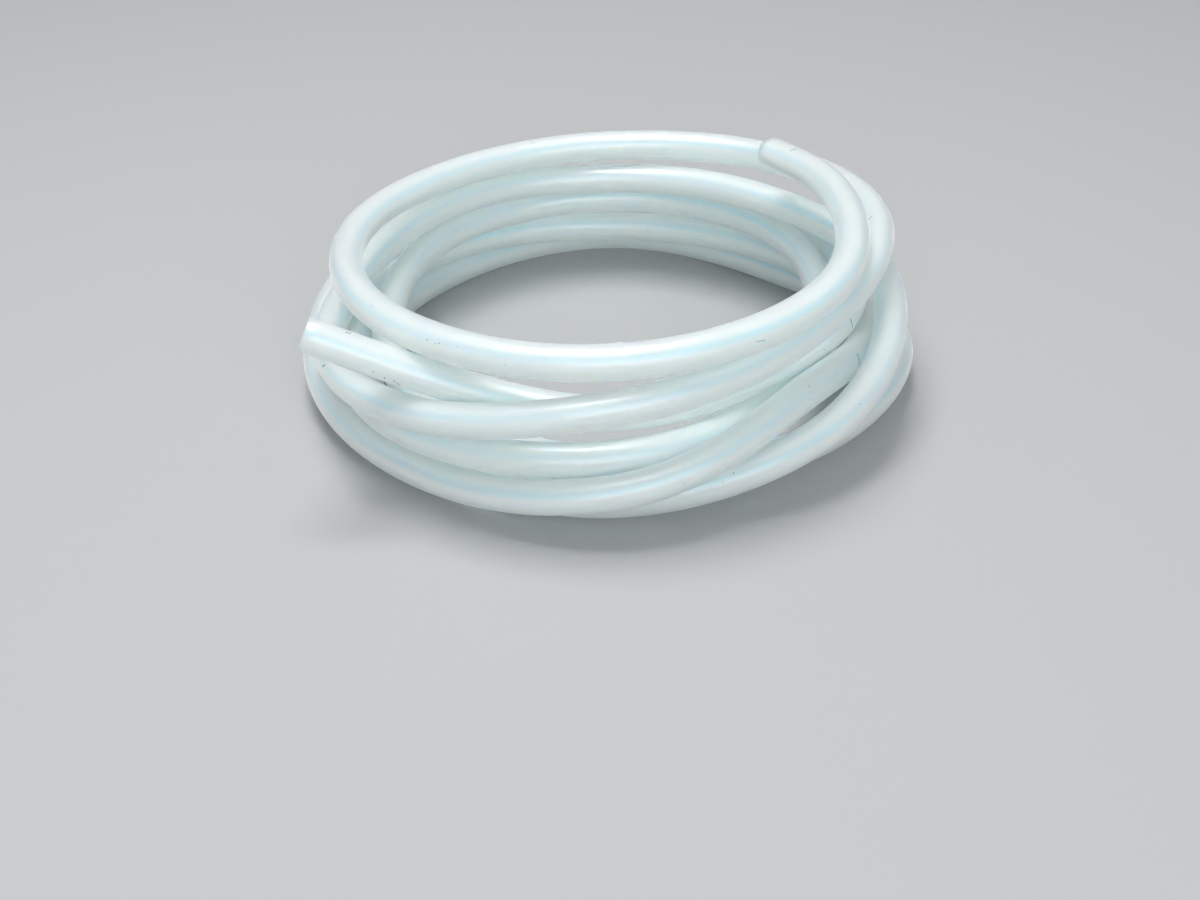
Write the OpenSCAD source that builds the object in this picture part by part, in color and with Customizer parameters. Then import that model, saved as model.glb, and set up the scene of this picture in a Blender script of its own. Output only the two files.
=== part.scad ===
// A loose hand-wound coil of soft, milky silicone tubing, lying on a bench.
// The tube is one piece. It starts at its upper end, at the back right, and winds
// clockwise (seen from above) down and around to its lower end, at the front left,
// which points outward and up.
// Z = 0 is the bench that the lowest turns lie on.

/* [Tube] */
// Bore of the tube
bore_d = 4.8; // [2.4:0.1:9.6]
// Thickness of the tube's wall
wall = 1.6; // [0.8:0.1:3.2]

/* [Coil] */
// Diameter of the coil, from the middle of the tube to the middle of the tube
coil_d = 128; // [110:2:300]
// Length of the straight piece at each cut end
straight_end = 10; // [6:1:20]

/* [Hidden] */

tube_d = bore_d + 2 * wall;

// How the turns lie. A hand-wound coil follows no formula, so each turn is laid by
// eight places, 45 degrees apart. Each place is [distance outward from the coil's
// mean circle, height of the tube's middle], as laid with a tube 8 mm thick.
laid_d = 8;
place_step = 45;
places = [
    // back right, before the first turn
    [-11, 47],
    // right, front right, front, front left, left, back left, back, back right
    [-8.5, 49], [-0.5, 46.5], [2.5, 44], [2, 42.5], [0, 40.5], [-2.5, 38.5], [-2, 38.5], [2, 39.5],
    [0.5, 42], [-3, 37.5], [4.5, 34], [7.5, 24.5], [6, 20], [0, 29], [-3.5, 29.5], [-5.5, 31],
    [3, 28.5], [5.5, 16.5], [-3, 5], [-5, 4.5], [-0.5, 4], [6.5, 4], [9.5, 6], [6.5, 4],
    [8, 9], [-2.5, 7], [-11, 9], [-10, 11.5], [-7, 15], [0, 20], [1, 21.5], [-2, 21],
    [-10.5, 17], [-11, 17], [-1.5, 17.5], [3, 16], [1.5, 12.5], [5.5, 13], [2.5, 12], [3, 12],
    [-0.5, 15], [-2.5, 22], [6, 13.5], [3.5, 6.5], [11, 9.5], [17.5, 17], [14, 18.5], [8, 20],
    [-4.5, 23], [-11, 25.5], [-7, 25.5], [11, 38.5],
    // left, past the lower end, which springs outward and up
    [100, 90]
];

// Where the wound part starts and ends, in degrees clockwise from the coil's right side
wind_start = -28.5;
wind_end = 2297.5;

// Fineness of the wound part
rings_per_turn = 36;
sides = 12;

// The wound part runs straight for its last bit, the lead, then goes this far into each
// straight end, and keeps this far inside that end's round surfaces
lead = 0.5;
tuck = 1;
skin = 0.05;

// The spacing between turns follows the tube's thickness
lay = tube_d / laid_d;
last_place = len(places) - 1;

// Rate of change from place to place, at place i
function slope(i) =
    let (before = max(i - 1, 0), after = min(i + 1, last_place))
    (places[after] - places[before]) / (after - before);

// Smooth curve between two places: t runs from 0 to 1
function blend(from, to, slope_from, slope_to, t) =
    (2 * t ^ 3 - 3 * t ^ 2 + 1) * from + (t ^ 3 - 2 * t ^ 2 + t) * slope_from
    + (3 * t ^ 2 - 2 * t ^ 3) * to + (t ^ 3 - t ^ 2) * slope_to;

// [distance outward, height] at an angle of winding
function lie(angle) =
    let (s = angle / place_step + 1, i = min(floor(s), last_place - 1))
    blend(places[i], places[i + 1], slope(i), slope(i + 1), s - i);

// Middle of the tube at an angle of winding
function middle(angle) =
    let (p = lay * lie(angle), r = coil_d / 2 + p[0])
    [r * cos(angle), -r * sin(angle), p[1]];

function unit(v) = v / norm(v);

// Direction in which the tube runs at an angle of winding
function heading(angle) = unit(middle(angle + 0.1) - middle(angle - 0.1));

// Level and upright directions across a tube that runs along a heading
function level(along) = unit(cross(along, [0, 0, 1]));
function upright(along) = cross(level(along), along);

// Points of a regular ring around the tube
function ring(centre, along, radius, corners) = [
    for (k = [0 : corners - 1])
        let (a = 360 * (k + 0.5) / corners)
        centre + radius * (cos(a) * level(along) + sin(a) * upright(along))
];

// Stations of the wound part: [middle of the tube, heading], with one more station
// inside each straight end
ring_count = round((wind_end - wind_start) / 360 * rings_per_turn);
start_middle = middle(wind_start);
start_along = heading(wind_start);
end_middle = middle(wind_end);
end_along = heading(wind_end);
stations = concat(
    [[start_middle - (lead + tuck) * start_along, start_along]],
    [for (k = [0 : ring_count])
        let (angle = wind_start + (wind_end - wind_start) * k / ring_count)
        [middle(angle), heading(angle)]],
    [[end_middle + (lead + tuck) * end_along, end_along]]
);

// Corners of the tube's outside lie just inside the true round. The flats of its bore
// lie just outside the true bore.
outer_r = tube_d / 2 - skin;
inner_r = (bore_d / 2 + skin) / cos(180 / sides);
outer_points = [for (s = stations) each ring(s[0], s[1], outer_r, sides)];
inner_points = [for (s = stations) each ring(s[0], s[1], inner_r, sides)];

// The lowest point of the tube rests on the bench, and the origin is under the middle
// of the coil's outline
start_tip = start_middle - (lead + straight_end) * start_along;
end_tip = end_middle + (lead + straight_end) * end_along;
function column(points, i) = [for (p = points) p[i]];
rim_points = concat(
    outer_points,
    ring(start_tip, start_along, tube_d / 2, 72),
    ring(end_tip, end_along, tube_d / 2, 72)
);
low = [for (i = [0 : 2]) min(column(rim_points, i))];
high = [for (i = [0 : 2]) max(column(rim_points, i))];
origin = [(low[0] + high[0]) / 2, (low[1] + high[1]) / 2, low[2]];

// Faces of a swept sheet of rings, facing outward when "out" is true
function sheet(first, rings, out) = [
    for (r = [0 : rings - 2], k = [0 : sides - 1])
        let (
            a = first + r * sides + k,
            b = first + r * sides + (k + 1) % sides,
            quad = [a, b, b + sides, a + sides]
        )
        each [
            out ? [quad[0], quad[1], quad[2]] : [quad[2], quad[1], quad[0]],
            out ? [quad[0], quad[2], quad[3]] : [quad[3], quad[2], quad[0]]
        ]
];

// The wound part of the tube, with its bore open right through
module wound_tube() {
    rings = len(stations);
    first_inner = len(outer_points);
    last_outer = first_inner - sides;
    last_inner = first_inner + len(inner_points) - sides;
    start_face = [
        for (k = [0 : sides - 1])
            let (next = (k + 1) % sides)
            each [
                [k, first_inner + next, next],
                [k, first_inner + k, first_inner + next]
            ]
    ];
    end_face = [
        for (k = [0 : sides - 1])
            let (next = (k + 1) % sides)
            each [
                [last_outer + k, last_outer + next, last_inner + next],
                [last_outer + k, last_inner + next, last_inner + k]
            ]
    ];
    polyhedron(
        concat(outer_points, inner_points),
        concat(
            sheet(0, rings, true),
            sheet(first_inner, rings, false),
            start_face,
            end_face
        )
    );
}

// A straight, truly round end of the tube, from the end of the wound part to the cut
module straight_piece(from, along) {
    turn = atan2(along[1], along[0]);
    tilt = acos(along[2]);
    translate(from + lead * along)
        rotate([0, tilt, turn])
            difference() {
                cylinder(d = tube_d, h = straight_end, $fn = 48);
                translate([0, 0, -1])
                    cylinder(d = bore_d, h = straight_end + 2, $fn = 48);
            }
}

module tube() {
    color([0.84, 0.9, 0.9])
        translate(-origin) {
            wound_tube();
            straight_piece(start_middle, -start_along);
            straight_piece(end_middle, end_along);
        }
}

tube();
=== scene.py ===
# %% [markdown]
# # A coil of milky silicone tubing
#
# This lesson dresses one object: a length of soft laboratory tubing, wound by hand into a
# loose coil and laid on a bench. The solid model comes first and fixes the size. Here the
# tube gets its true round walls, its milky silicone, and the dust that clings to it.

# %% Load the solid model
import math
import random
from bisect import bisect_right

import bpy
from mathutils import Euler, Matrix, Vector


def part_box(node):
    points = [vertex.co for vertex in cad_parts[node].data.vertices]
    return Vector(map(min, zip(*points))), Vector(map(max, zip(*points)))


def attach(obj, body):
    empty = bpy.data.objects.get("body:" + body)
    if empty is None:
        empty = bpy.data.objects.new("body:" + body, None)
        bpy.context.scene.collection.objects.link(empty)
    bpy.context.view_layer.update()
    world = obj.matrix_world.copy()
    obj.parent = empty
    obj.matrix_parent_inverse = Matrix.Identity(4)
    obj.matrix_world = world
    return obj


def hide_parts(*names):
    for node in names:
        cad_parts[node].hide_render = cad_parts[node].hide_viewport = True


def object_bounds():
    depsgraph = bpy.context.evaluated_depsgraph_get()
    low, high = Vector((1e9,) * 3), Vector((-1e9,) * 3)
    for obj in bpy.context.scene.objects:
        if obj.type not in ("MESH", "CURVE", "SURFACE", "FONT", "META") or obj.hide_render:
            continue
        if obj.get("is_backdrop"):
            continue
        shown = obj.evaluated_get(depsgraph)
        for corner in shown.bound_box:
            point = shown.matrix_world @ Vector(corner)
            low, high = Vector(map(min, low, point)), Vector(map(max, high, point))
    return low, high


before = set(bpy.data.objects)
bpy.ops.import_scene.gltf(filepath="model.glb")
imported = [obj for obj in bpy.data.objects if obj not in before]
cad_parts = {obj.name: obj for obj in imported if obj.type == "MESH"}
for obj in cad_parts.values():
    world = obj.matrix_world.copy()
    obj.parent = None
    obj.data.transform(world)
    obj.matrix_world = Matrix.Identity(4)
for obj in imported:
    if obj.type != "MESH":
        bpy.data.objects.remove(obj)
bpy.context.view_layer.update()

# %% [markdown]
# ## The camera
#
# A camera is a place, a direction and an angle of view. It stands in front of the coil and
# looks down on it, a little tilted, as a hand-held camera is. It could be aimed at the coil
# by a constraint, but a place and two turns say the same and stay easy to read. Cameras look
# along their own -Z, so a turn about X of 90 degrees looks level, and less looks down.

# %% Place the camera
MM = 0.001
SENSOR_WIDTH, LENS = 36.0, 47.9775  # both in mm, as camera makers state them
NEAREST_SEEN, FURTHEST_SEEN = 10 * MM, 20.0
CAMERA_PLACE = Vector((-2.31, -358.68, 211.63)) * MM
LOOK_DOWN, HAND_TILT = 33.33, 1.244  # degrees


def put_in_scene(thing):
    """Every new object has to be linked to the scene before it shows."""
    bpy.context.scene.collection.objects.link(thing)
    return thing


camera = put_in_scene(bpy.data.objects.new("camera", bpy.data.cameras.new("camera")))
camera.data.sensor_width = SENSOR_WIDTH
camera.data.lens = LENS
camera.data.clip_start = NEAREST_SEEN
camera.data.clip_end = FURTHEST_SEEN
look_down = Euler((math.radians(90 - LOOK_DOWN), 0, 0)).to_matrix().to_4x4()
hand_tilt = Matrix.Rotation(math.radians(-HAND_TILT), 4, "Z")
camera.matrix_world = Matrix.Translation(CAMERA_PLACE) @ look_down @ hand_tilt
bpy.context.scene.camera = camera
print("camera stands", round(camera.location.length, 3), "m from the coil's foot")

# %% [markdown]
# ## The route of the tube
#
# A hand-wound coil follows no formula, so its turns follow a list: eight places a turn,
# each a distance outward from the coil's mean circle and a height above the bench. These
# are the same places that the solid model is wound from. Most of them are the result of a
# least-squares fit, rounded to half millimetres, and some were moved afterwards.
# A cubic blend joins them, whose slope at each place is the mean of the steps on both
# sides, so the tube never kinks.

# %% Lay the places of the turns
TUBE_D, BORE_D = 8.0 * MM, 4.8 * MM
COIL_R = 64.0  # mm, the coil's mean circle
PLACE_STEP = 45.0  # degrees from one place to the next
WIND_START, WIND_END = -28.5, 2297.5  # degrees clockwise from the coil's right side
STRAIGHT_END = 10.5  # mm, where the tube runs straight before each cut
PLACES = [Vector(p) for p in (
    (-11, 47),
    (-8.5, 49), (-0.5, 46.5), (2.5, 44), (2, 42.5), (0, 40.5), (-2.5, 38.5), (-2, 38.5), (2, 39.5),
    (0.5, 42), (-3, 37.5), (4.5, 34), (7.5, 24.5), (6, 20), (0, 29), (-3.5, 29.5), (-5.5, 31),
    (3, 28.5), (5.5, 16.5), (-3, 5), (-5, 4.5), (-0.5, 4), (6.5, 4), (9.5, 6), (6.5, 4),
    (8, 9), (-2.5, 7), (-11, 9), (-10, 11.5), (-7, 15), (0, 20), (1, 21.5), (-2, 21),
    (-10.5, 17), (-11, 17), (-1.5, 17.5), (3, 16), (1.5, 12.5), (5.5, 13), (2.5, 12), (3, 12),
    (-0.5, 15), (-2.5, 22), (6, 13.5), (3.5, 6.5), (11, 9.5), (17.5, 17), (14, 18.5), (8, 20),
    (-4.5, 23), (-11, 25.5), (-7, 25.5), (11, 38.5),
    (100, 90),
)]
print(len(PLACES), "places, for", round((WIND_END - WIND_START) / 360, 2), "turns")

# %% Blend from place to place


def slope(i):
    """Rate of change at a place: the mean of the steps on both sides."""
    before, after = max(i - 1, 0), min(i + 1, len(PLACES) - 1)
    return (PLACES[after] - PLACES[before]) / (after - before)


def middle(angle):
    """Middle of the tube at an angle of winding, in mm, before the coil is centred."""
    s = angle / PLACE_STEP + 1
    i = min(int(s), len(PLACES) - 2)
    t = s - i
    out, height = (
        (2 * t**3 - 3 * t**2 + 1) * PLACES[i] + (t**3 - 2 * t**2 + t) * slope(i)
        + (3 * t**2 - 2 * t**3) * PLACES[i + 1] + (t**3 - t**2) * slope(i + 1)
    )
    a = math.radians(angle)
    return Vector(((COIL_R + out) * math.cos(a), -(COIL_R + out) * math.sin(a), height))


def heading(angle):
    """Direction in which the tube runs at an angle of winding."""
    return (middle(angle + 0.1) - middle(angle - 0.1)).normalized()


print("first place of the wound part, mm:", [round(x, 1) for x in middle(WIND_START)])

# %% Walk along the route
ROUTE_STEPS, END_STEPS = 1300, 5
winding = [WIND_START + (WIND_END - WIND_START) * k / ROUTE_STEPS for k in range(ROUTE_STEPS + 1)]
route = [middle(a) for a in winding]
run_in = [
    route[0] - heading(WIND_START) * STRAIGHT_END * k / END_STEPS for k in range(END_STEPS, 0, -1)]
run_out = [
    route[-1] + heading(WIND_END) * STRAIGHT_END * k / END_STEPS for k in range(1, END_STEPS + 1)]
route = run_in + route + run_out
print("route:", len(route), "points")

# %% Centre the route
# The solid model is centred on its outline, so the middle of the route's box moves to the
# middle of the solid's.
box_low, box_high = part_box("tube")
low = Vector([min(p[i] for p in route) for i in range(3)])
high = Vector([max(p[i] for p in route) for i in range(3)])
centring = (box_low + box_high) / 2 - (low + high) / 2 * MM
route = [p * MM + centring for p in route]
tube_length = sum((b - a).length for a, b in zip(route, route[1:]))
print("tube length, m:", round(tube_length, 3))

# %% [markdown]
# ## The tube itself, by Geometry Nodes
#
# A tube is a wall swept along a route. Blender's Curve to Mesh node sweeps a ring, but it
# leaves the ends open or fills them like a solid rod. A real cut end shows the wall as a
# flat ring with the bore open inside it. So the wall's long section is drawn as a loop
# with eight corners: along the outside, round the cut, back along the bore, and round the
# other cut. From each corner to the next goes one band, a grid of rings bent round the
# route. A node group makes one band, and the main tree calls it eight times. Every point
# also notes where it would be if the tube lay straight, for the patterns on its skin.

# %% Helpers that add nodes


def set_input(tree, socket, value):
    """Give a socket its value, or link it to the other node's socket that is given."""
    if isinstance(value, bpy.types.NodeSocket):
        tree.links.new(value, socket)
    else:
        socket.default_value = value


def add(tree, kind, inputs=None, **settings):
    """One node, with its settings, then its inputs by name or number."""
    node = tree.nodes.new(kind)
    for name, value in settings.items():
        setattr(node, name, value)
    for name, value in (inputs or {}).items():
        set_input(tree, node.inputs[name], value)
    return node


def calc(tree, operation, *values):
    """The result of arithmetic on numbers."""
    return add(tree, "ShaderNodeMath", dict(enumerate(values)), operation=operation).outputs[0]


def vector_calc(tree, operation, inputs):
    """The result of arithmetic on vectors."""
    return add(tree, "ShaderNodeVectorMath", inputs, operation=operation).outputs[0]


print("helpers: add, calc, vector_calc")

# %% Helpers that open and close a geometry tree


def open_tree(name, wanted):
    """A geometry tree with these named inputs, and its input and output nodes."""
    tree = bpy.data.node_groups.new(name, "GeometryNodeTree")
    for label, kind in wanted:
        tree.interface.new_socket(label, in_out="INPUT", socket_type="NodeSocket" + kind)
    tree.interface.new_socket("Geometry", in_out="OUTPUT", socket_type="NodeSocketGeometry")
    return tree, tree.nodes.new("NodeGroupInput").outputs, tree.nodes.new("NodeGroupOutput").inputs


def close_tree(tree, geometry, material, result):
    """End a tree as real geometry with its material on."""
    real = add(tree, "GeometryNodeRealizeInstances", {"Geometry": geometry})
    dressed = add(tree, "GeometryNodeSetMaterial", {
        "Geometry": real.outputs[0], "Material": material})
    tree.links.new(dressed.outputs[0], result["Geometry"])
    print("tree", tree.name + ":", len(tree.nodes), "nodes")


print("helpers: open_tree, close_tree")

# %% The band, one sheet of the tube's wall
band, given, result = open_tree("band of the wall", (
    ("Route", "Geometry"), ("From Length", "Float"), ("To Length", "Float"),
    ("From Radius", "Float"), ("To Radius", "Float"), ("Rings", "Int"), ("Sides", "Int"),
))
corners = calc(band, "ADD", given["Sides"], 1)
grid = add(band, "GeometryNodeMeshGrid", {
    "Size X": 1.0, "Size Y": 1.0, "Vertices X": given["Rings"], "Vertices Y": corners})
place = add(band, "ShaderNodeSeparateXYZ", {0: add(band, "GeometryNodeInputPosition").outputs[0]})
forward = calc(band, "ADD", place.outputs["X"], 0.5)
around = calc(band, "ADD", place.outputs["Y"], 0.5)


def from_to(start, end):
    """A value that goes from start to end over the length of the band."""
    return calc(band, "MULTIPLY_ADD", forward, calc(band, "SUBTRACT", end, start), start)


length = from_to(given["From Length"], given["To Length"])
radius = from_to(given["From Radius"], given["To Radius"])
print("band group: a grid of rings, with its lengths and radii")

# %% Bend the band round the route
sample = add(band, "GeometryNodeSampleCurve", {
    "Curves": given["Route"], "Length": length}, mode="LENGTH")
turned = calc(band, "MULTIPLY", around, 2 * math.pi)
sideways = calc(band, "MULTIPLY", radius, calc(band, "COSINE", turned))
upwards = calc(band, "MULTIPLY", radius, calc(band, "SINE", turned))
second = vector_calc(band, "CROSS_PRODUCT", {
    0: sample.outputs["Normal"], 1: sample.outputs["Tangent"]})
level = vector_calc(band, "SCALE", {0: sample.outputs["Normal"], "Scale": sideways})
upright = vector_calc(band, "SCALE", {0: second, "Scale": upwards})
off_route = vector_calc(band, "ADD", {0: level, 1: upright})
spot = vector_calc(band, "ADD", {0: sample.outputs["Position"], 1: off_route})
straight_place = add(band, "ShaderNodeCombineXYZ", {"X": length, "Y": sideways, "Z": upwards})
marked = add(band, "GeometryNodeStoreNamedAttribute", {
    "Geometry": grid.outputs["Mesh"], "Name": "straightened", "Value": straight_place.outputs[0]},
    data_type="FLOAT_VECTOR", domain="POINT")
bent = add(band, "GeometryNodeSetPosition", {"Geometry": marked.outputs[0], "Position": spot})
band.links.new(bent.outputs[0], result["Geometry"])
print("band group:", len(band.nodes), "nodes")

# %% The main tree, eight bands round the wall
tube_tree, given, result = open_tree("hollow tube", (
    ("Geometry", "Geometry"), ("Outside Radius", "Float"), ("Bore Radius", "Float"),
    ("Edge", "Float"), ("Rings", "Int"), ("Sides", "Int"), ("Material", "Material"),
))
curve = add(tube_tree, "GeometryNodeMeshToCurve", {"Mesh": given["Geometry"]})
curve = add(tube_tree, "GeometryNodeSetCurveNormal", {"Curve": curve.outputs[0]}, mode="Z_UP")
full = add(tube_tree, "GeometryNodeCurveLength", {"Curve": curve.outputs[0]}).outputs[0]
outer, bore, edge = given["Outside Radius"], given["Bore Radius"], given["Edge"]
near_end = calc(tube_tree, "SUBTRACT", full, edge)
outer_cut = calc(tube_tree, "SUBTRACT", outer, edge)
bore_cut = calc(tube_tree, "ADD", bore, edge)
# Each corner of the wall's section: its length along, its radius, and the rings to the next
loop = [
    (edge, outer, given["Rings"]), (near_end, outer, 2), (full, outer_cut, 4), (full, bore_cut, 2),
    (near_end, bore, given["Rings"]), (edge, bore, 2), (0.0, bore_cut, 4), (0.0, outer_cut, 2),
]
print("section of the wall:", len(loop), "corners")

# %% Join the bands into one closed wall
SAME_POINT = 0.005 * MM
joined = add(tube_tree, "GeometryNodeJoinGeometry")
for (length_a, radius_a, rings), (length_b, radius_b, _) in zip(loop, loop[1:] + loop[:1]):
    one_band = add(tube_tree, "GeometryNodeGroup", node_tree=band)
    for name, value in (
        ("Route", curve.outputs[0]), ("From Length", length_a), ("To Length", length_b),
        ("From Radius", radius_a), ("To Radius", radius_b), ("Rings", rings),
        ("Sides", given["Sides"]),
    ):
        set_input(tube_tree, one_band.inputs[name], value)
    tube_tree.links.new(one_band.outputs[0], joined.inputs[0])
closed = add(tube_tree, "GeometryNodeMergeByDistance", {
    "Geometry": joined.outputs[0], "Distance": SAME_POINT})
smooth = add(tube_tree, "GeometryNodeSetShadeSmooth", {"Geometry": closed.outputs[0]})
close_tree(tube_tree, smooth.outputs[0], given["Material"], result)

# %% Grow a plain mesh from a tree


def grow(name, start_mesh, tree, values):
    """The mesh that a geometry tree makes of a start mesh, as a plain object."""
    source = put_in_scene(bpy.data.objects.new(name + "_source", start_mesh))
    modifier = source.modifiers.new(tree.name, "NODES")
    modifier.node_group = tree
    sockets = {s.name: s.identifier for s in tree.interface.items_tree if s.in_out == "INPUT"}
    for label, value in values.items():
        modifier[sockets[label]] = value
    grown = source.evaluated_get(bpy.context.evaluated_depsgraph_get())
    mesh = bpy.data.meshes.new_from_object(grown)
    mesh.name = name
    source.modifiers.remove(modifier)
    bpy.data.objects.remove(source)
    print(name + ":", len(mesh.vertices), "points,", len(mesh.polygons), "faces")
    return put_in_scene(bpy.data.objects.new(name, mesh))


# %% [markdown]
# ## Milky silicone
#
# Silicone rubber is clear at heart, but a fine haze in it scatters the light. Light that
# goes in wanders through the wall, leaves it elsewhere, crosses the bore and goes in again.
# A flat white paint would miss that, and a real volume haze takes very long to render. So
# the wall mixes two things: about half of the light wanders under the skin (subsurface),
# and the rest goes straight through, bent and blurred as by frosted glass. Red light wanders
# a little further than blue. A clear coat, a little blurred, gives each turn its streak of
# light, and a sheen makes the edges of each turn pale, as the haze does there.

# %% Mix the silicone
silicone = bpy.data.materials.new("milky_silicone")
silicone.use_nodes = True
shade = silicone.node_tree
skin = shade.nodes["Principled BSDF"]
skin.inputs["IOR"].default_value = 1.41
skin.inputs["Transmission Weight"].default_value = 0.48
skin.inputs["Subsurface Weight"].default_value = 1.0
skin.inputs["Subsurface Radius"].default_value = (1.15, 1.0, 0.85)
skin.inputs["Subsurface Scale"].default_value = 2.5 * MM
skin.inputs["Coat Weight"].default_value = 1.0
skin.inputs["Coat Roughness"].default_value = 0.28
skin.inputs["Sheen Weight"].default_value = 0.6
skin.inputs["Sheen Roughness"].default_value = 0.3
print("silicone bends light by", round(skin.inputs["IOR"].default_value, 2))

# %% Let light go from wall to wall many times
WALLS_CROSSED, MOST_BOUNCES = 20, 32
paths = bpy.context.scene.cycles
paths.diffuse_bounces = WALLS_CROSSED
paths.transmission_bounces = WALLS_CROSSED
paths.glossy_bounces = WALLS_CROSSED
paths.max_bounces = MOST_BOUNCES
paths.blur_glossy = 0
print("light may bounce", paths.max_bounces, "times")

# %% [markdown]
# ## Colour and skin of the silicone
#
# Up close the rubber isn't one colour. It drifts between a cool and a creamy white along the
# tube, and is a little glossier in some places than in others. A thin blue line of painted
# shade runs along each turn, just under its streak of light, where the wall faces well up. It
# stands in for the dark that the roof of the bore shows through the wall, with a painted warm
# tone of light beside it. The painted shade is strong on the bore's roof and faint on the skin,
# where it also comes and goes, and the rest of the bore is painted a little darker and bluer.
# Fine lines run along the tube, drawn into it as it was extruded.
#
# An image wound round the tube could hold all this, but it would need a seam. Every point
# of the wall knows where it would be if the tube lay straight: how far along, and where
# across. So each pattern is a noise or a ramp on that place, and none has a seam.

# %% Find where each point lies on the straightened tube
SKIN_DEPTH = 0.1 * MM  # so near the skin or the bore, a cut face has that side's own colour
where = add(shade, "ShaderNodeAttribute", attribute_name="straightened")
across = add(shade, "ShaderNodeSeparateXYZ", {0: where.outputs["Vector"]})
off_axis = calc(shade, "SQRT", calc(
    shade, "ADD", calc(shade, "MULTIPLY", across.outputs["Y"], across.outputs["Y"]),
    calc(shade, "MULTIPLY", across.outputs["Z"], across.outputs["Z"])))
upward = calc(shade, "DIVIDE", across.outputs["Z"], off_axis)
# Where the bore's painted shade goes: all of the bore, fading out across a cut face towards the
# skin
in_bore = add(shade, "ShaderNodeMapRange", {
    "Value": off_axis, "From Min": TUBE_D / 2 - SKIN_DEPTH, "From Max": BORE_D / 2 + SKIN_DEPTH})
fade = (TUBE_D - BORE_D) / 2 - 2 * SKIN_DEPTH
print("across a cut face, the bore's tint fades in over", round(1000 * fade, 1), "mm")

# %% Helpers for noise along the tube and for mixed colours


def tube_noise(scale, detail, stretch=None):
    """Noise on the straightened tube, at one scale or stretched along it."""
    place = where.outputs["Vector"]
    if stretch:
        place = add(shade, "ShaderNodeMapping", {"Vector": place, "Scale": stretch}).outputs[0]
    noise = add(shade, "ShaderNodeTexNoise", {"Vector": place, "Scale": scale, "Detail": detail})
    return noise.outputs["Fac"]


def mixed(tree, factor, first, second, blend_type="MIX"):
    """Two colours mixed. A Mix node's sockets share their names, so they go by number."""
    return add(
        tree, "ShaderNodeMix", {0: factor, 6: first, 7: second}, data_type="RGBA",
        blend_type=blend_type).outputs[2]


def painted_shade_band(pale, warm, blue):
    """Painted shade: blue where the wall faces well up but not straight up, painted warm light
    beside it, else pale.
    """
    ramp = add(shade, "ShaderNodeValToRGB", {0: upward})
    ramp.color_ramp.interpolation = "EASE"
    marks = ramp.color_ramp.elements
    for stop, (spot, colour) in enumerate((
            (0.0, pale), (0.28, warm), (0.56, blue), (0.66, blue), (0.9, pale))):
        mark = marks[stop] if stop < 2 else marks.new(spot)
        mark.position, mark.color = spot, (*colour, 1)
    return ramp.outputs["Color"]


print("helpers: tube_noise, mixed, painted_shade_band")

# %% Colour the silicone
COOL_WHITE, CREAMY_WHITE = (0.968, 0.995, 0.977, 1), (0.988, 0.997, 0.952, 1)
LONG_BLOTCHES = (14.0, 60.0, 60.0)  # four times as long as they are wide
FAINTEST, STRONGEST = 0.35, 1.0
cloudy = tube_noise(scale=90.0, detail=3.0)
drift = mixed(shade, cloudy, COOL_WHITE, CREAMY_WHITE)
# How strongly the blue line of painted shade shows on the skin, in long blotches
painted_shade_strength = add(shade, "ShaderNodeMapRange", {
    "Value": tube_noise(scale=1.0, detail=2.0, stretch=LONG_BLOTCHES),
    "From Min": 0.35, "From Max": 0.65, "To Min": FAINTEST, "To Max": STRONGEST})
# Painted shade on the skin: a faint blue line and a painted warm tone, by how far up the wall
# faces
painted_skin_shade = painted_shade_band(pale=(1, 1, 1), warm=(1.0, 0.97, 0.965), blue=(0.8, 0.935, 1.0))
# Painted shade in the bore: all of it a little darker and bluer, deepest in the blue line
painted_bore_shade = painted_shade_band(pale=(0.86, 0.95, 0.96), warm=(0.92, 0.94, 0.94), blue=(0.4, 0.75, 0.93))
outside = mixed(shade, painted_shade_strength.outputs[0], drift, painted_skin_shade, "MULTIPLY")
# In the bore, the bore's painted shade takes the place of the skin's colour
tint = mixed(shade, in_bore.outputs[0], outside, painted_bore_shade)
shade.links.new(tint, skin.inputs["Base Color"])
print("colour from", len(shade.nodes), "nodes")

# %% Vary the gloss
GLOSSIEST, DULLEST = 0.3, 0.38
satin = add(shade, "ShaderNodeMapRange", {
    "Value": cloudy, "From Min": 0.3, "From Max": 0.7, "To Min": GLOSSIEST, "To Max": DULLEST})
shade.links.new(satin.outputs[0], skin.inputs["Roughness"])
print("roughness from", GLOSSIEST, "to", DULLEST)

# %% Draw the extrusion lines
LINE_DEPTH, LINE_STRENGTH = 0.05 * MM, 0.15
LONG_LINES = (20.0, 900.0, 900.0)  # 45 times as long as they are wide
lines = tube_noise(scale=1.0, detail=2.0, stretch=LONG_LINES)
relief = add(shade, "ShaderNodeBump", {
    "Height": lines, "Strength": LINE_STRENGTH, "Distance": LINE_DEPTH})
shade.links.new(relief.outputs[0], skin.inputs["Normal"])
print("silicone:", len(shade.nodes), "nodes")

# %% [markdown]
# ## Wind the tube
#
# The route becomes a plain line of points, and the tree turns that line into the tube. Its
# 40 sides look round in every view. The cut edges are broken by a small bevel, because a
# knife never leaves one perfectly sharp and a sharp edge catches no light. The tube stands
# for the solid model's own, which has twelve sides only.

# %% Wind the tube
RINGS, SIDES, EDGE = 1000, 40, 0.15 * MM
line = bpy.data.meshes.new("route")
line.from_pydata(route, [(i, i + 1) for i in range(len(route) - 1)], [])
tube = grow("tubing", line, tube_tree, {
    "Outside Radius": TUBE_D / 2, "Bore Radius": BORE_D / 2, "Edge": EDGE,
    "Rings": RINGS, "Sides": SIDES, "Material": silicone,
})
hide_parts("tube")
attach(tube, "root")

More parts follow.
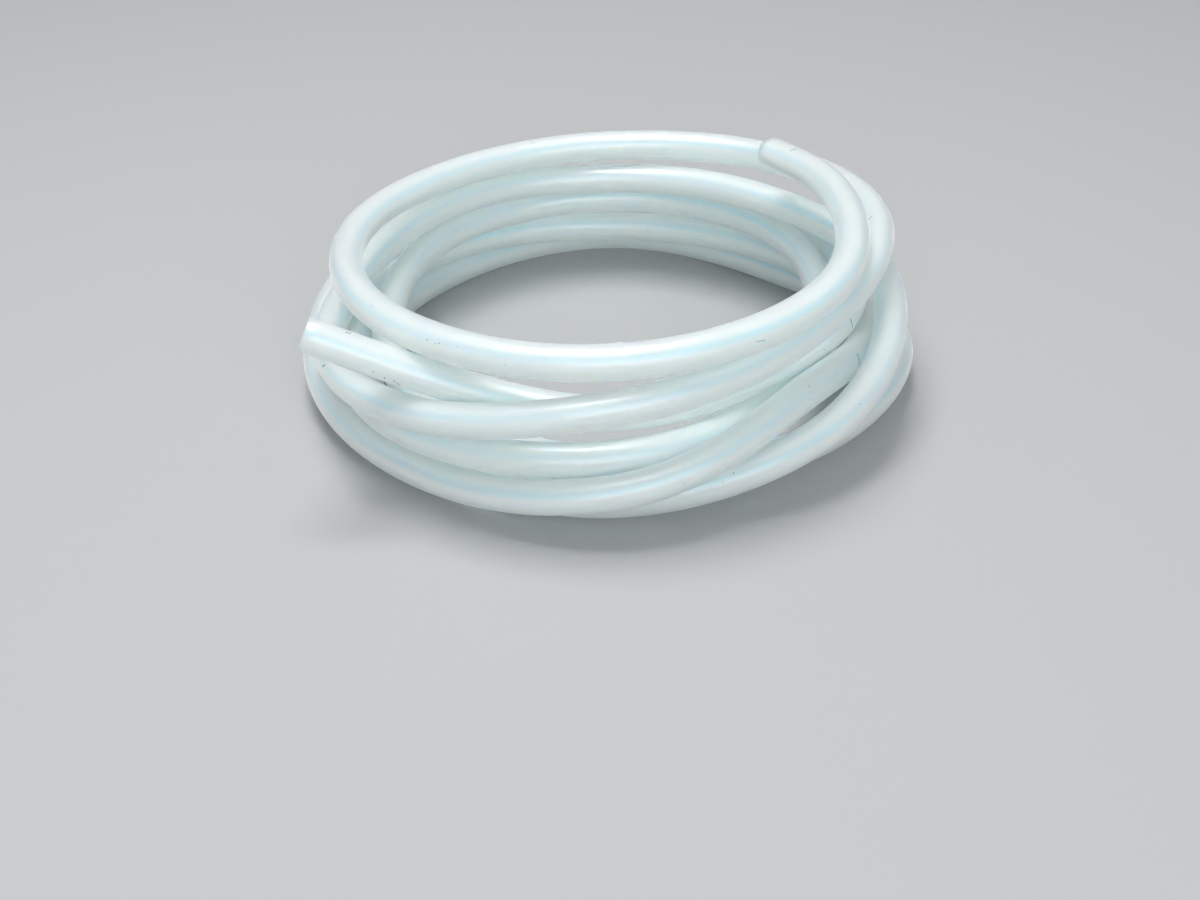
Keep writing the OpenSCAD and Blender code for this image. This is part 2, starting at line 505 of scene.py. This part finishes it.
# %% [markdown]
# ## Dust, lint and fine hairs
#
# Silicone is a little tacky, so it gathers dust as soon as it is unpacked. Dark grains,
# pale grains, hairs and one small scratch are what tells a real tube from a clean model.
# Noise in the material could hint at dust, but real grains stand proud and cast shadows.
# So each grain is a point on the skin, and Geometry Nodes put a small lump on every point,
# flattened against the skin and turned its own way. Hairs are lines swept with a thin ring,
# and the scratch is four short pale ones, laid close together.

# %% Find a place on the skin
milestones = [0.0]
for here, there in zip(route, route[1:]):
    milestones.append(milestones[-1] + (there - here).length)


def on_skin(length, around, lift=0.0):
    """A point on the outside and the way it faces: mm along, degrees up from the level side."""
    k = min(max(bisect_right(milestones, length * MM), 1), len(route) - 1)
    along = (route[k] - route[k - 1]).normalized()
    level = along.cross(Vector((0, 0, 1))).normalized()
    upright = level.cross(along)
    turn = math.radians(around)
    facing = math.cos(turn) * level + math.sin(turn) * upright
    centre = route[k - 1] + along * (length * MM - milestones[k - 1])
    return centre + facing * (TUBE_D / 2 + lift * MM), facing


print("the skin is", round(1000 * milestones[-1]), "mm long")

# %% A tree that puts a grain on every point
FULL_TURN = 6.28
NARROWEST, WIDEST = (0.7, 0.35, 0.25), (1.2, 0.8, 0.45)
grain_tree, given, result = open_tree("grains", (
    ("Geometry", "Geometry"), ("Seed", "Int"), ("Material", "Material")))
facing = add(
    grain_tree, "GeometryNodeInputNamedAttribute", {"Name": "facing"}, data_type="FLOAT_VECTOR")
size = add(grain_tree, "GeometryNodeInputNamedAttribute", {"Name": "size"}, data_type="FLOAT")
upended = add(
    grain_tree, "FunctionNodeAlignRotationToVector", {"Vector": facing.outputs[0]}, axis="Z")
own_turn = add(grain_tree, "FunctionNodeRandomValue", {
    "Min": (0, 0, 0), "Max": (0, 0, FULL_TURN), "Seed": given["Seed"]},
    data_type="FLOAT_VECTOR")
spun = add(grain_tree, "FunctionNodeRotateRotation", {
    "Rotation": upended.outputs[0], "Rotate By": own_turn.outputs[0]}, rotation_space="LOCAL")
stretch = add(grain_tree, "FunctionNodeRandomValue", {
    "Min": NARROWEST, "Max": WIDEST, "Seed": given["Seed"]}, data_type="FLOAT_VECTOR")
own_size = vector_calc(grain_tree, "SCALE", {0: stretch.outputs[0], "Scale": size.outputs[0]})
lump = add(grain_tree, "GeometryNodeMeshIcoSphere", {"Radius": 1.0, "Subdivisions": 1})
placed = add(grain_tree, "GeometryNodeInstanceOnPoints", {
    "Points": given["Geometry"], "Instance": lump.outputs[0], "Rotation": spun.outputs[0],
    "Scale": own_size})
close_tree(grain_tree, placed.outputs[0], given["Material"], result)

# %% A tree that sweeps every line into a hair
HAIR_SIDES = 5
hair_tree, given, result = open_tree("hairs", (
    ("Geometry", "Geometry"), ("Thickness", "Float"), ("Material", "Material")))
strand = add(hair_tree, "GeometryNodeMeshToCurve", {"Mesh": given["Geometry"]})
ring = add(hair_tree, "GeometryNodeCurvePrimitiveCircle", {
    "Resolution": HAIR_SIDES, "Radius": calc(hair_tree, "MULTIPLY", given["Thickness"], 0.5)})
swept = add(hair_tree, "GeometryNodeCurveToMesh", {
    "Curve": strand.outputs[0], "Profile Curve": ring.outputs[0], "Fill Caps": True})
close_tree(hair_tree, swept.outputs[0], given["Material"], result)

# %% Mix the dust
MOTTLE_SCALE, DUST_ROUGHNESS = 2500.0, 0.9


def dust_paint(name, dark, light):
    """A dull material that is mottled from a dark to a light colour."""
    paint = bpy.data.materials.new(name)
    paint.use_nodes = True
    tree = paint.node_tree
    dull = tree.nodes["Principled BSDF"]
    spot = add(tree, "ShaderNodeTexCoord").outputs["Object"]
    mottle = add(tree, "ShaderNodeTexNoise", {"Vector": spot, "Scale": MOTTLE_SCALE})
    colour = mixed(tree, mottle.outputs["Fac"], dark, light)
    tree.links.new(colour, dull.inputs["Base Color"])
    dull.inputs["Roughness"].default_value = DUST_ROUGHNESS
    print("material", name)
    return paint


dark_dust = dust_paint("dark_dust", (0.02, 0.02, 0.02, 1), (0.16, 0.14, 0.12, 1))
pale_dust = dust_paint("pale_dust", (0.8, 0.82, 0.8, 1), (0.98, 0.98, 0.95, 1))

# %% Choose the places of the grains
# Most dust lies anywhere, but some has gathered: mm along the tube, degrees up from its
# level side, how many grains, and how far they spread in mm
DARK_PATCHES = [(2653, 200, 8, 4), (175, 150, 4, 8), (940, 140, 4, 12), (2550, 160, 3, 6)]
PALE_PATCHES = [
    (168, 150, 4, 3), (620, 140, 4, 5), (785, 50, 3, 4), (21, -40, 2, 1), (1305, 155, 9, 4),
]
PATCH_TURN = 12  # degrees to either side
PATCH_SIZES = 0.8, 1.6  # a gathered grain's least and most size, in largest grains
CLEAN_END = 3  # mm at each cut
DUSTY_SIDE, DUSTY_SPREAD = 95, 75  # degrees: dust settles mostly on top
LOWEST_DUST = 1.5 * MM


def scattered(seed, count, smallest, largest, patches=()):
    """Grains in their patches, then anywhere: mm along, degrees up and radius in mm."""
    chance = random.Random(seed)
    spots = []
    for along, around, many, spread in patches:
        for _ in range(many):
            spots.append((
                along + chance.uniform(-spread, spread),
                around + chance.uniform(-PATCH_TURN, PATCH_TURN),
                largest * chance.uniform(*PATCH_SIZES)))
    while len(spots) < count:
        spot = (
            chance.uniform(CLEAN_END, 1000 * tube_length - CLEAN_END),
            chance.gauss(DUSTY_SIDE, DUSTY_SPREAD),
            smallest * (largest / smallest) ** (chance.random() ** 2))
        if on_skin(*spot[:2])[0].z > LOWEST_DUST:
            spots.append(spot)
    return spots


dark_spots = scattered(seed=11, count=420, smallest=0.05, largest=0.15, patches=DARK_PATCHES)
pale_spots = scattered(seed=12, count=420, smallest=0.06, largest=0.15, patches=PALE_PATCHES)
print(len(dark_spots), "dark grains and", len(pale_spots), "pale grains")

# %% Lay the grains
SUNK_LIFT = 0.1  # a grain's middle stands this share of its radius above the skin


def grains(name, spots, seed, paint):
    """One piece that holds a lump of dust at every spot."""
    placed = [on_skin(along, around, lift=SUNK_LIFT * radius) for along, around, radius in spots]
    points = bpy.data.meshes.new(name + "_points")
    points.from_pydata([spot for spot, _ in placed], [], [])
    points.attributes.new("facing", "FLOAT_VECTOR", "POINT").data.foreach_set(
        "vector", [x for _, way in placed for x in way])
    points.attributes.new("size", "FLOAT", "POINT").data.foreach_set(
        "value", [radius * MM for _, _, radius in spots])
    piece = grow(name, points, grain_tree, {"Seed": seed, "Material": paint})
    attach(piece, "root")
    return piece


dust = [
    grains("dark_grains", dark_spots, seed=3, paint=dark_dust),
    grains("pale_grains", pale_spots, seed=4, paint=pale_dust),
]

# %% Choose the places of the hairs
# Each runs from one place to another, mm along and degrees up, with a bow in degrees
DARK_HAIRS = [
    ((2532, 140), (2532, 178), 6), ((2093, 128), (2095, 160), -5), ((108, 168), (106, 174), 0),
]
SCRATCH = [
    ((2586, 208), (2583, 197), 4), ((2584, 200), (2582, 182), -3),
    ((2583, 200), (2580, 179), 5), ((2584, 193), (2585, 204), 2),
]
LINT = [
    ((136, 62), (137, 92), 8), ((137, 70), (134, 84), -9), ((134, 90), (136, 72), 5),
    ((2211, 178), (2213, 166), 7), ((2213, 171), (2210, 176), -8), ((2211, 166), (2212, 176), 4),
]
STRAY_TURN, STRAY_BOW = 25, 6  # degrees


def stray(seed, count, reach):
    """Short hairs that lie anywhere."""
    chance = random.Random(seed)
    strays = []
    for along, around, _ in scattered(seed, count, 0.1, 0.2):
        end = (
            along + chance.uniform(-reach, reach),
            around + chance.uniform(-STRAY_TURN, STRAY_TURN))
        strays.append(((along, around), end, chance.uniform(-STRAY_BOW, STRAY_BOW)))
    return strays


dark_ends = DARK_HAIRS + stray(seed=21, count=8, reach=1.2)
pale_ends = SCRATCH + LINT + stray(seed=22, count=26, reach=1.5)
print(len(dark_ends), "dark hairs and", len(pale_ends), "pale ones")

# %% Lay the hairs
HAIR_STEPS = 8
HAIR_LIFT = 0.04  # mm off the skin
BOW_ALONG = 0.05  # mm along the tube for each degree of bow
DARK_HAIR_D, PALE_HAIR_D = 0.09 * MM, 0.08 * MM


def hairs(name, ends, thickness, paint):
    """One piece that holds a bowed hair between every pair of ends."""
    points, lines = [], []
    for (length_a, around_a), (length_b, around_b), bow in ends:
        for k in range(HAIR_STEPS + 1):
            t = k / HAIR_STEPS
            hump = math.sin(math.pi * t)
            along = length_a + t * (length_b - length_a) + BOW_ALONG * bow * hump
            around = around_a + t * (around_b - around_a) + bow * math.sin(2 * math.pi * t)
            lift = HAIR_LIFT * (1 + abs(bow) * hump / 4)
            points.append(on_skin(along, around, lift=lift)[0])
            if k:
                lines.append((len(points) - 2, len(points) - 1))
    path = bpy.data.meshes.new(name + "_lines")
    path.from_pydata(points, lines, [])
    piece = grow(name, path, hair_tree, {"Thickness": thickness, "Material": paint})
    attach(piece, "root")
    return piece


dust += [
    hairs("dark_hairs", dark_ends, DARK_HAIR_D, dark_dust),
    hairs("pale_lint", pale_ends, PALE_HAIR_D, pale_dust),
]

# %% [markdown]
# ## The tubing and its dust
#
# The dust hangs from the same root as the tube, because the dust lies on the tube and goes
# where the tube goes.

print("cord:", tube.name, "with", len(dust), "pieces of dust on it")

# %% [markdown]
# ## The floor
#
# The coil lies on a plain floor, one flat face at the height of its lowest point. Light from
# the floor comes through the milky rubber, so a white floor would hide the tube's edges. A
# calm, pale grey keeps them. The floor is marked as stage, because it isn't part of the coil.

# %% Lay the floor
FLOOR_REACH = 3.0
low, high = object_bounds()
floor_corners = [
    (x * FLOOR_REACH, y * FLOOR_REACH, low.z) for x, y in ((-1, -1), (1, -1), (1, 1), (-1, 1))]
floor_mesh = bpy.data.meshes.new("floor")
floor_mesh.from_pydata(floor_corners, [], [(0, 1, 2, 3)])
floor = put_in_scene(bpy.data.objects.new("floor", floor_mesh))
floor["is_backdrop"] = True
print("floor at", round(1000 * low.z, 2), "mm")

# %% Paint the floor
paint = bpy.data.materials.new("pale_floor")
paint.use_nodes = True
matt = paint.node_tree.nodes["Principled BSDF"]
matt.inputs["Base Color"].default_value = (0.42, 0.425, 0.43, 1)
matt.inputs["Roughness"].default_value = 0.8
floor.data.materials.append(paint)
print("material", paint.name)

# %% [markdown]
# ## The light
#
# Small lamps would put hard white dots on the rubber. A wide lamp nearly overhead lays one
# long, soft streak on every turn, and its light goes deep into the milky wall. A wider and
# weaker one in front lifts the lower turns, which the upper ones shade. An even, faintly
# blue sky fills the rest.

# %% Hang the lamps
COIL_MIDDLE = (0, 0, 0.03)


def softbox(name, place, width, depth, watts):
    """A rectangular lamp that shines at the coil's middle, in metres and watts."""
    lamp = put_in_scene(bpy.data.objects.new(name, bpy.data.lights.new(name, "AREA")))
    lamp.data.shape = "RECTANGLE"
    lamp.data.size, lamp.data.size_y = width, depth
    lamp.data.energy = watts
    lamp.location = place
    lamp.rotation_mode = "QUATERNION"
    lamp.rotation_quaternion = (Vector(COIL_MIDDLE) - Vector(place)).to_track_quat("-Z", "Y")
    print(name, "lamp:", watts, "W")


softbox("key", place=(-0.1, 0.03, 0.9), width=0.45, depth=0.35, watts=6.3)
softbox("fill", place=(0.1, -0.9, 0.45), width=0.9, depth=0.5, watts=4)

# %% Light the sky
world = bpy.data.worlds.new("studio")
bpy.context.scene.world = world
world.use_nodes = True
sky = world.node_tree.nodes["Background"]
sky.inputs["Color"].default_value = (0.95, 0.97, 1, 1)
sky.inputs["Strength"].default_value = 0.5
bpy.context.scene.view_settings.view_transform = "Standard"
print("sky strength", sky.inputs["Strength"].default_value)

# %% [markdown]
# ## The size of the dressed model
#
# The box round the dressed model is printed, in mm.

# %% Measure the dressed model
low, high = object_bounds()
print("visual model, mm:", [round(1000 * s, 1) for s in high - low])
